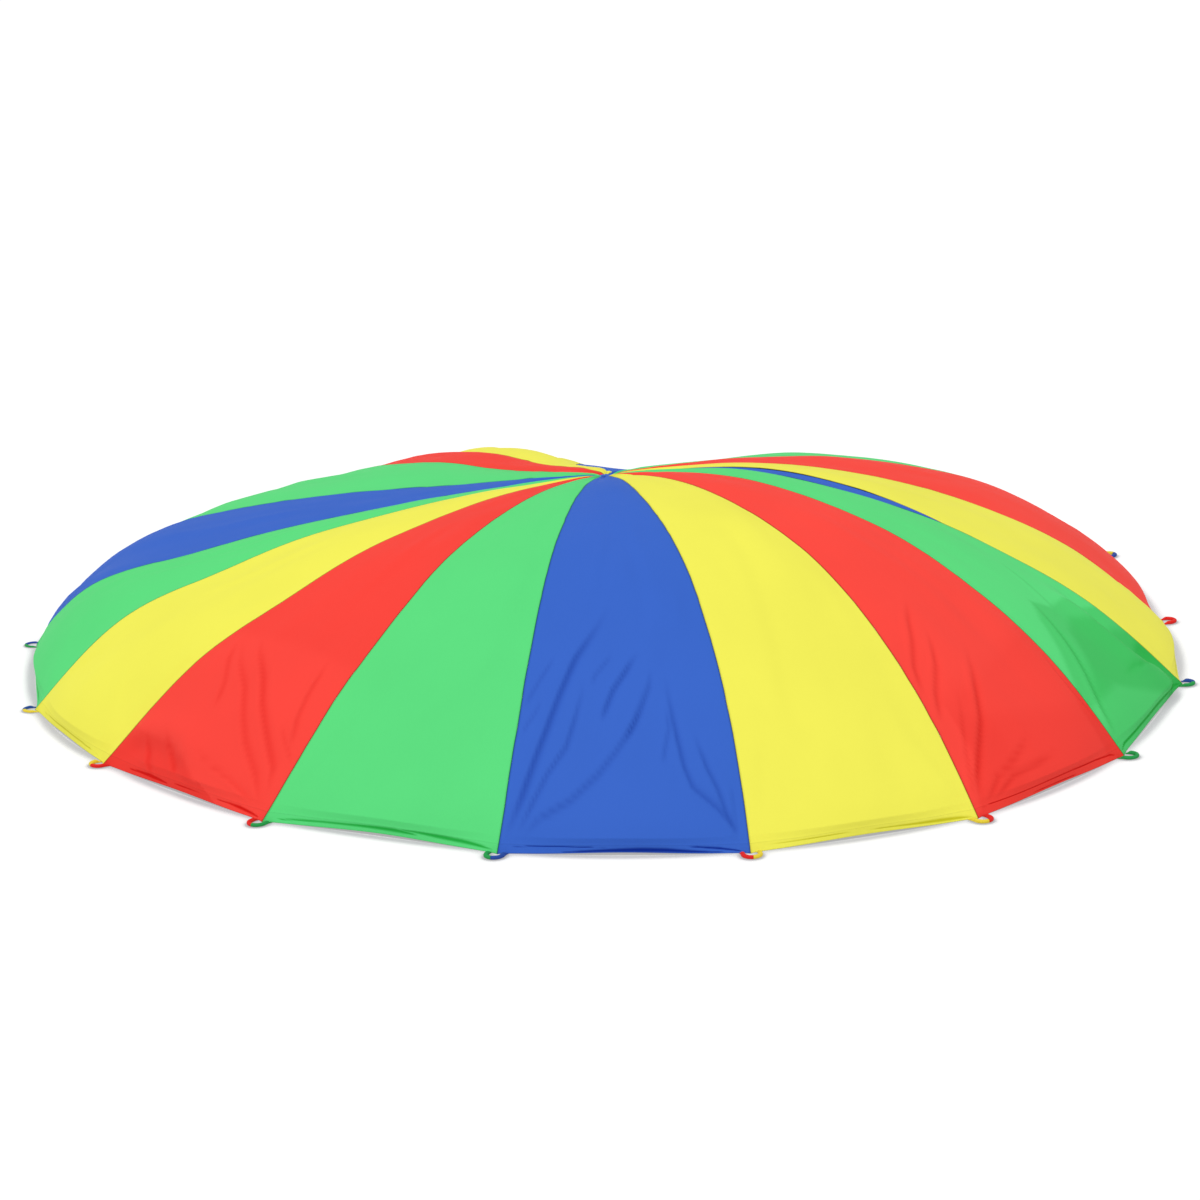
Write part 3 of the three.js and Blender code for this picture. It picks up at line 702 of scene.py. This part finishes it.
def nylon(colour):
    """The canopy's cloth, with its seams, stitches, weave and crinkles, and painted shade in its
    creases, seam grooves and folds.
    """
    name = f"nylon_cloth_{colour}"
    if name in bpy.data.materials:
        return bpy.data.materials[name]
    material = bpy.data.materials.new(name)
    material.use_nodes = True
    t = material.node_tree
    calc = partial(math_node, t)
    shader = t.nodes["Principled BSDF"]
    shader.inputs["Roughness"].default_value = 0.6
    shader.inputs["Specular IOR Level"].default_value = 0.03
    shader.inputs["Sheen Weight"].default_value = 0.01
    shader.inputs["Sheen Roughness"].default_value = 0.4
    rgb = linear(COLOURS[colour])
    shader.inputs["Base Color"].default_value = (*rgb, 1)
    seam, hem = attribute(t, "seam_m"), attribute(t, "hem_m")
    across = attribute(t, "across_m")
    # seam allowance, groove and hem, and their rows of stitches
    allowance = up_to(t, seam, SEAM_ALLOWANCE, 0.0012)
    groove_shade = line_mask(t, seam, 0.0, 0.0014, 0.0011)
    hem_band = up_to(t, hem, 0.0272, 0.0010)
    first, second = (line_mask(t, seam, at, 0.00022, 0.0003) for at in SEAM_STITCHES)
    seam_rows = calc("MULTIPLY", calc("MAXIMUM", first, second), dashes(t, hem, 0.0019))
    hem_row = line_mask(t, hem, HEM_STITCHES, 0.00025, 0.0003)
    hem_row = calc("MULTIPLY", hem_row, dashes(t, across, 0.0019))
    stitches = calc("MAXIMUM", seam_rows, hem_row)
    coords = node(t, "ShaderNodeTexCoord").outputs["Object"]
    # one value by which the colour is multiplied: a mottle, a darker seam allowance, hem band and
    # stitches, and painted shade in the seam's groove
    shade = calc("MULTIPLY_ADD", noise(t, coords, Scale=2.2, Detail=3.0), 0.10, 0.95)
    for mask, change in (allowance, -0.04), (groove_shade, -0.48), (hem_band, -0.015), (stitches, -0.22):
        shade = calc("MULTIPLY", shade, calc("MULTIPLY_ADD", mask, change, 1.0))
    # painted shade: the colour turns deeper in the hem's creases, in the seam's groove, beside the
    # folds and along the lines of painted shade and light, and over the deeper gores
    painted_shade_mix = node(t, "ShaderNodeMix", data_type="RGBA")
    doubling_and_painted_shade = calc("MAXIMUM", attribute(t, "crease_shade"), calc("MULTIPLY", groove_shade, 0.5))
    doubling_and_painted_shade = calc("MULTIPLY_ADD", attribute(t, "deep"), 0.8, doubling_and_painted_shade, clamp=True)
    t.links.new(doubling_and_painted_shade, painted_shade_mix.inputs[0])
    painted_shade_mix.inputs[6].default_value = (*rgb, 1)
    painted_shade_mix.inputs[7].default_value = (*(0.7 * v**1.7 for v in rgb), 1)
    t.links.new(tinted(t, painted_shade_mix.outputs[2], shade), shader.inputs["Base Color"])
    # relief: weave, crinkles, puckers along the seams and the hem, stitches
    weave = calc("MULTIPLY", calc("PINGPONG", across, 0.00030), calc("PINGPONG", hem, 0.00034))
    weave = calc("MULTIPLY", weave, 700.0)
    crinkle = noise(t, coords, Scale=38.0, Detail=4.0, Roughness=0.55, Distortion=0.6)
    wander = calc("MULTIPLY", crinkle, 2.4)
    near_seam = calc("POWER", 2.718, calc("MULTIPLY", seam, -38.0))
    near_hem = calc("POWER", 2.718, calc("MULTIPLY", hem, -30.0))
    seam_pucker = calc("SINE", calc("MULTIPLY_ADD", hem, 150.0, wander))
    seam_pucker = calc("MULTIPLY", seam_pucker, near_seam)
    hem_pucker = calc("SINE", calc("MULTIPLY_ADD", across, 160.0, wander))
    hem_pucker = calc("MULTIPLY", hem_pucker, near_hem)
    height = calc("MULTIPLY", calc("SUBTRACT", crinkle, 0.5), 0.0011)
    forms = (seam_pucker, 0.0005), (hem_pucker, 0.0004), (weave, 0.25), (stitches, 0.00035)
    for form, size in forms:
        height = calc("MULTIPLY_ADD", form, size, height)
    add_relief(t, shader, height, 0.6)
    return material


def strap(colour):
    """The rolled strap of a hand loop, stitched along its inside."""
    name = f"nylon_strap_{colour}"
    if name in bpy.data.materials:
        return bpy.data.materials[name]
    material = bpy.data.materials.new(name)
    material.use_nodes = True
    t = material.node_tree
    calc = partial(math_node, t)
    shader = t.nodes["Principled BSDF"]
    shader.inputs["Roughness"].default_value = 0.6
    shader.inputs["Specular IOR Level"].default_value = 0.15
    shader.inputs["Sheen Weight"].default_value = 0.03
    coords = node(t, "ShaderNodeTexCoord").outputs["Object"]
    mottle = noise(t, coords, Scale=90.0, Detail=4.0)
    girth, length = attribute(t, "across_m"), attribute(t, "length_m")
    stitch = line_mask(t, girth, 0.0128, 0.0003, 0.0003)
    stitch = calc("MULTIPLY", stitch, dashes(t, length, 0.0018))
    twist = calc("ADD", calc("MULTIPLY", length, 420.0), calc("MULTIPLY", girth, 250.0))
    twist = calc("SINE", twist)
    shade = calc("MULTIPLY_ADD", mottle, 0.22, 0.88)
    shade = calc("MULTIPLY", shade, calc("MULTIPLY_ADD", stitch, -0.3, 1.0))
    t.links.new(tinted(t, linear(STRAP_COLOURS[colour]), shade), shader.inputs["Base Color"])
    height = calc("MULTIPLY", mottle, 0.0010)
    height = calc("MULTIPLY_ADD", twist, 0.00022, height)
    height = calc("MULTIPLY_ADD", stitch, 0.0002, height)
    add_relief(t, shader, height, 0.7)
    return material


# ---- gusset

GUSSET_SHARES = np.array([0, 0.04, 0.12, 0.25, 0.5, 0.75, 0.88, 0.96, 1.0])
GUSSET_ROWS = 60


def make_gusset():
    start = (GUSSET_START + GUSSET_TIP) / RIM
    end = (GUSSET_START + GUSSET_LENGTH - GUSSET_TIP) / RIM
    middle = seam_bearing(GUSSET_SEAM)
    points, seam, hem, across = [], [], [], []
    for out in np.linspace(start, end, GUSSET_ROWS):
        half = float(gusset_half_angle(np.array(out)))
        bearing = middle - half + 2 * half * GUSSET_SHARES
        level = np.full_like(bearing, out)
        width = 2 * half * out * RIM
        edge = np.minimum(GUSSET_SHARES, 1 - GUSSET_SHARES) * width
        lift = 0.0009 * (1 - smooth((edge - SEAM_ALLOWANCE) / 0.001))
        lift = lift - 0.0007 * (1 - smooth(edge / 0.0016))
        points.append(canopy(level, bearing) + outward(level, bearing) * lift[:, None])
        seam.append(edge)
        hem.append(np.full_like(edge, (1 - out) * RIM))
        across.append((GUSSET_SHARES - 0.5) * width)
    points = np.array(points)
    obj = add_mesh("gusset_cloth", points.reshape(-1, 3), grid_faces(*points.shape[:2]),
                   {"seam_m": seam, "hem_m": hem, "across_m": across})
    obj.data.materials.append(nylon("blue"))
    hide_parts("gusset")
    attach(obj, "canopy")
    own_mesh(obj)
    width = 2.1 * GUSSET_HALF_WIDTH


# ---- crown patch

PATCH_SIDES = 96
PATCH_EDGE = 0.0358
PATCH_RINGS = np.array([0.0, 6, 12, 18, 22, 26, 29, 30.5, 32, 34, 35.2, 35.8]) / 1000


def make_patch(name, node_name, near, far):
    """A disc. near and far are the heights over the canopy of its edge and of its outer face."""
    bearings = seam_bearing(-1) + np.arange(PATCH_SIDES) * 2 * np.pi / PATCH_SIDES
    points, hem = [], []
    for r in PATCH_RINGS:
        out = np.full(PATCH_SIDES, max(r, 1e-4) / RIM)
        n = outward(np.maximum(out, 0.006), bearings)
        if r <= 0.003:
            n = np.tile([0.0, 0.0, 1.0], (PATCH_SIDES, 1))
        ripple = 0.0004 * np.sin(bearings * 16 + 0.6) * smooth(r / 0.03)
        rounded = 0.0005 * smooth((r - 0.0345) / 0.0013)
        level = far - rounded * (1 if far > near else -1) + ripple
        points.append(canopy(out, bearings) + n * level[:, None])
        hem.append(np.full(PATCH_SIDES, PATCH_EDGE - r))
    # the turned edge
    out = np.full(PATCH_SIDES, PATCH_EDGE / RIM)
    points.append(canopy(out, bearings) + outward(out, bearings) * near)
    hem.append(np.zeros(PATCH_SIDES))
    points = np.array(points)
    attributes = {
        "seam_m": np.full(points.shape[:2], 0.5),
        "hem_m": hem,
        "across_m": np.tile(bearings * 0.03, (len(points), 1)),
    }
    faces = grid_faces(len(points), PATCH_SIDES, wrap=True)
    obj = add_mesh(name, points.reshape(-1, 3), faces, attributes)
    obj.data.materials.append(nylon("blue"))
    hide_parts(node_name)
    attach(obj, "crown")
    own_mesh(obj)


# ---- hand loops

STRAP_SIDES = 14
STRAIGHT_RINGS = 10
BEND_RINGS = 14


def loop_frame(seam):
    """Where a loop is sewn on: the hem's corner, the directions along the hem and out from it, and
    the hem on both sides."""
    bearing = seam_bearing(seam)
    foot = HEM_FOOT / RIM
    corner = canopy(1.0, bearing)
    ahead, behind = canopy(1.0, bearing + foot), canopy(1.0, bearing - foot)
    along = ahead - behind
    along[2] = 0
    along /= np.linalg.norm(along)
    out = np.array([along[1], -along[0], 0.0])
    return corner, along, out, ahead, behind


def make_loop_half(seam, side):
    """Half of a hand loop, from the hem to the middle of its bend. side is -1 or 1."""
    corner, along, out, ahead, behind = loop_frame(seam)
    hem = (ahead if side > 0 else behind) - corner
    slope = (hem @ out) / abs(hem @ along)
    half = LOOP_SPAN / 2
    start = slope * half + LOOP_CLEARANCE
    straight = BUNCHED.get(seam, CORD_REACH) - LOOP_WIDTH / 2 - half
    # the strap's middle line: place out and along, and direction
    path = [(x, half, 1.0, 0.0) for x in np.linspace(start, straight, STRAIGHT_RINGS)]
    join = math.pi / 2 - LOOP_JOIN_GAP / 2 / half
    for i in range(1, BEND_RINGS + 1):
        a = join * i / BEND_RINGS
        c, s = math.cos(a), math.sin(a)
        path.append((straight + half * s, half * c, c, -s))
    cord_width, cord_height = THIN_CORDS.get(seam, (CORD_WIDTH, CORD_HEIGHT))
    rings, girth, length = [], [], []
    travelled, last = 0.0, None
    rng = np.random.default_rng(seam * 2 + (side > 0))
    phase, lean = rng.uniform(0, 6.28), rng.uniform(-0.3, 0.3)
    for k, (x, y, dx, dy) in enumerate(path):
        if last is not None:
            travelled += math.hypot(x - last[0], y - last[1])
        last = (x, y)
        grown = float(smooth((x - start) / LOOP_TAPER))
        height = LOOP_TAB_HEIGHT + (cord_height - LOOP_TAB_HEIGHT) * grown
        pinch = 0.5 + 0.5 * math.sin(travelled * 170 + phase)
        width = cord_width * (1 - 0.07 * grown * pinch)
        ring = []
        for i in range(STRAP_SIDES):
            turn = (i + 0.5) / STRAP_SIDES * 2 * math.pi
            c, s = math.cos(turn), math.sin(turn)
            c, s = math.copysign(abs(c) ** 0.85, c), math.copysign(abs(s) ** 0.85, s)
            # a groove where the strap's rolled edge ends
            roll = 1 - 0.10 * grown * math.exp(-(((turn - 2.1 - lean) / 0.28) ** 2))
            aside = c * width / 2 * roll
            skew = slope * aside if k == 0 else 0.0
            px, py = x - dy * aside + skew, y + dx * aside
            p = corner + out * px + along * side * py
            p[2] = (s * roll + 1) * height / 2 * 0.985
            ring.append(p)
            girth.append(turn * 0.006)
            length.append(travelled)
        rings.append(ring)
    faces = [tuple(f) for f in grid_faces(len(rings), STRAP_SIDES, wrap=True)]
    end = (len(rings) - 1) * STRAP_SIDES
    faces += [tuple(range(STRAP_SIDES)), tuple(range(end + STRAP_SIDES - 1, end - 1, -1))]
    if side < 0:
        faces = [f[::-1] for f in faces]
    colour = LOOP_COLOURS[seam][0 if side < 0 else 1]
    letter = "a" if side < 0 else "b"
    obj = add_mesh(f"loop_cloth_{seam:02d}_{letter}", np.array(rings).reshape(-1, 3), faces,
                   {"across_m": girth, "length_m": length})
    obj.data.materials.append(strap(colour))
    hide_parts(f"loop_{seam:02d}_{letter}")
    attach(obj, f"loop_{seam:02d}")


# ---- floor, light and camera

FLOOR_HALF = 60
FLOOR_LEVEL = -0.0006
AMBIENT = 0.58
SUN_ENERGY = 1.36
SUN_ANGLE = 22
SUN_DIRECTION = (0.17, 0.28, -0.95)
# The camera that was fitted to the photo: tilt and roll in radians, its focal length and the shift
# of its axis in pixels of the photo
TILT = 0.29807
ROLL = -0.0356
DISTANCE = 7 * RIM
PHOTO_SIDE = 1200
FOCAL_LENGTH = 4102.23
AXIS_SHIFT = (-20.02, 61.27)
SENSOR = 36


def make_floor():
    corners = [(-1, -1), (1, -1), (1, 1), (-1, 1)]
    points = [(x * FLOOR_HALF, y * FLOOR_HALF, FLOOR_LEVEL) for x, y in corners]
    floor = add_mesh("floor", points, [(0, 1, 2, 3)], smooth_faces=False)
    material = bpy.data.materials.new("floor_white")
    material.use_nodes = True
    t = material.node_tree
    calc = partial(math_node, t)
    t.nodes.clear()
    shown = node(t, "ShaderNodeBsdfDiffuse")
    lit = node(t, "ShaderNodeBsdfDiffuse")
    lit.inputs["Color"].default_value = (0.86, 0.86, 0.86, 1)
    # painted shadow: the floor darkens where something stands close over it, and this shadow is
    # faintly blue
    nearby = node(t, "ShaderNodeAmbientOcclusion", samples=12)
    nearby.inputs["Distance"].default_value = 0.058
    painted_shadow = calc("DIVIDE", calc("SUBTRACT", 0.95, nearby.outputs["AO"]), 0.16, clamp=True)
    level = calc("MULTIPLY_ADD", painted_shadow, -0.20, 0.36)
    tone = node(t, "ShaderNodeCombineColor")
    for socket in ("Red", "Green"):
        t.links.new(level, tone.inputs[socket])
    t.links.new(calc("MULTIPLY_ADD", painted_shadow, 0.02, level), tone.inputs["Blue"])
    t.links.new(tone.outputs[0], shown.inputs["Color"])
    # the floor glows for the camera, which keeps it white, and under the canopy this glow is
    # painted light standing in for light through the thin nylon, so its shadow isn't black
    through = node(t, "ShaderNodeEmission")
    t.links.new(calc("MULTIPLY_ADD", painted_shadow, -0.30, 0.70), through.inputs["Strength"])
    both = node(t, "ShaderNodeAddShader")
    t.links.new(shown.outputs[0], both.inputs[0])
    t.links.new(through.outputs[0], both.inputs[1])
    path = node(t, "ShaderNodeLightPath")
    mix = node(t, "ShaderNodeMixShader")
    out = node(t, "ShaderNodeOutputMaterial")
    t.links.new(path.outputs["Is Camera Ray"], mix.inputs[0])
    t.links.new(lit.outputs[0], mix.inputs[1])
    t.links.new(both.outputs[0], mix.inputs[2])
    t.links.new(mix.outputs[0], out.inputs["Surface"])
    floor.data.materials.append(material)


def make_light():
    world = bpy.data.worlds.new("studio")
    bpy.context.scene.world = world
    world.use_nodes = True
    t = world.node_tree
    background = t.nodes["Background"]
    background.inputs["Color"].default_value = (1, 1, 1, 1)
    # the camera sees white, and the object is lit by the ambient level
    seen = node(t, "ShaderNodeLightPath").outputs["Is Camera Ray"]
    strength = math_node(t, "MULTIPLY_ADD", seen, 1.0 - AMBIENT, AMBIENT)
    t.links.new(strength, background.inputs["Strength"])
    sun = bpy.data.lights.new("key", "SUN")
    sun.energy = SUN_ENERGY
    sun.angle = math.radians(SUN_ANGLE)
    obj = bpy.data.objects.new("key", sun)
    obj.rotation_euler = Vector(SUN_DIRECTION).to_track_quat("-Z", "Y").to_euler()
    bpy.context.scene.collection.objects.link(obj)


def make_camera():
    camera = bpy.data.cameras.new("camera")
    camera.sensor_width = SENSOR
    camera.lens = SENSOR * FOCAL_LENGTH / PHOTO_SIDE
    camera.shift_x = AXIS_SHIFT[0] / PHOTO_SIDE
    camera.shift_y = AXIS_SHIFT[1] / PHOTO_SIDE
    camera.clip_end = 500
    obj = bpy.data.objects.new("camera", camera)
    back = Vector((0, -math.cos(TILT), math.sin(TILT)))
    target = Vector((CENTRE[0], CENTRE[1], 0))
    turn = (-back).to_track_quat("-Z", "Y").to_matrix() @ Matrix.Rotation(ROLL, 3, "Z")
    obj.matrix_world = Matrix.Translation(target + back * DISTANCE) @ turn.to_4x4()
    bpy.context.scene.collection.objects.link(obj)
    bpy.context.scene.camera = obj


for gore in range(GORES):
    make_gore(gore)
make_gusset()
make_patch("crown_disc_top", "crown_patch_top", 0.0004, 0.0020)
make_patch("crown_disc_under", "crown_patch_under", -0.0024, -0.0040)
for seam in range(GORES):
    for side in (-1, 1):
        make_loop_half(seam, side)
make_floor()
make_light()
make_camera()
bpy.context.scene.view_settings.view_transform = "Standard"
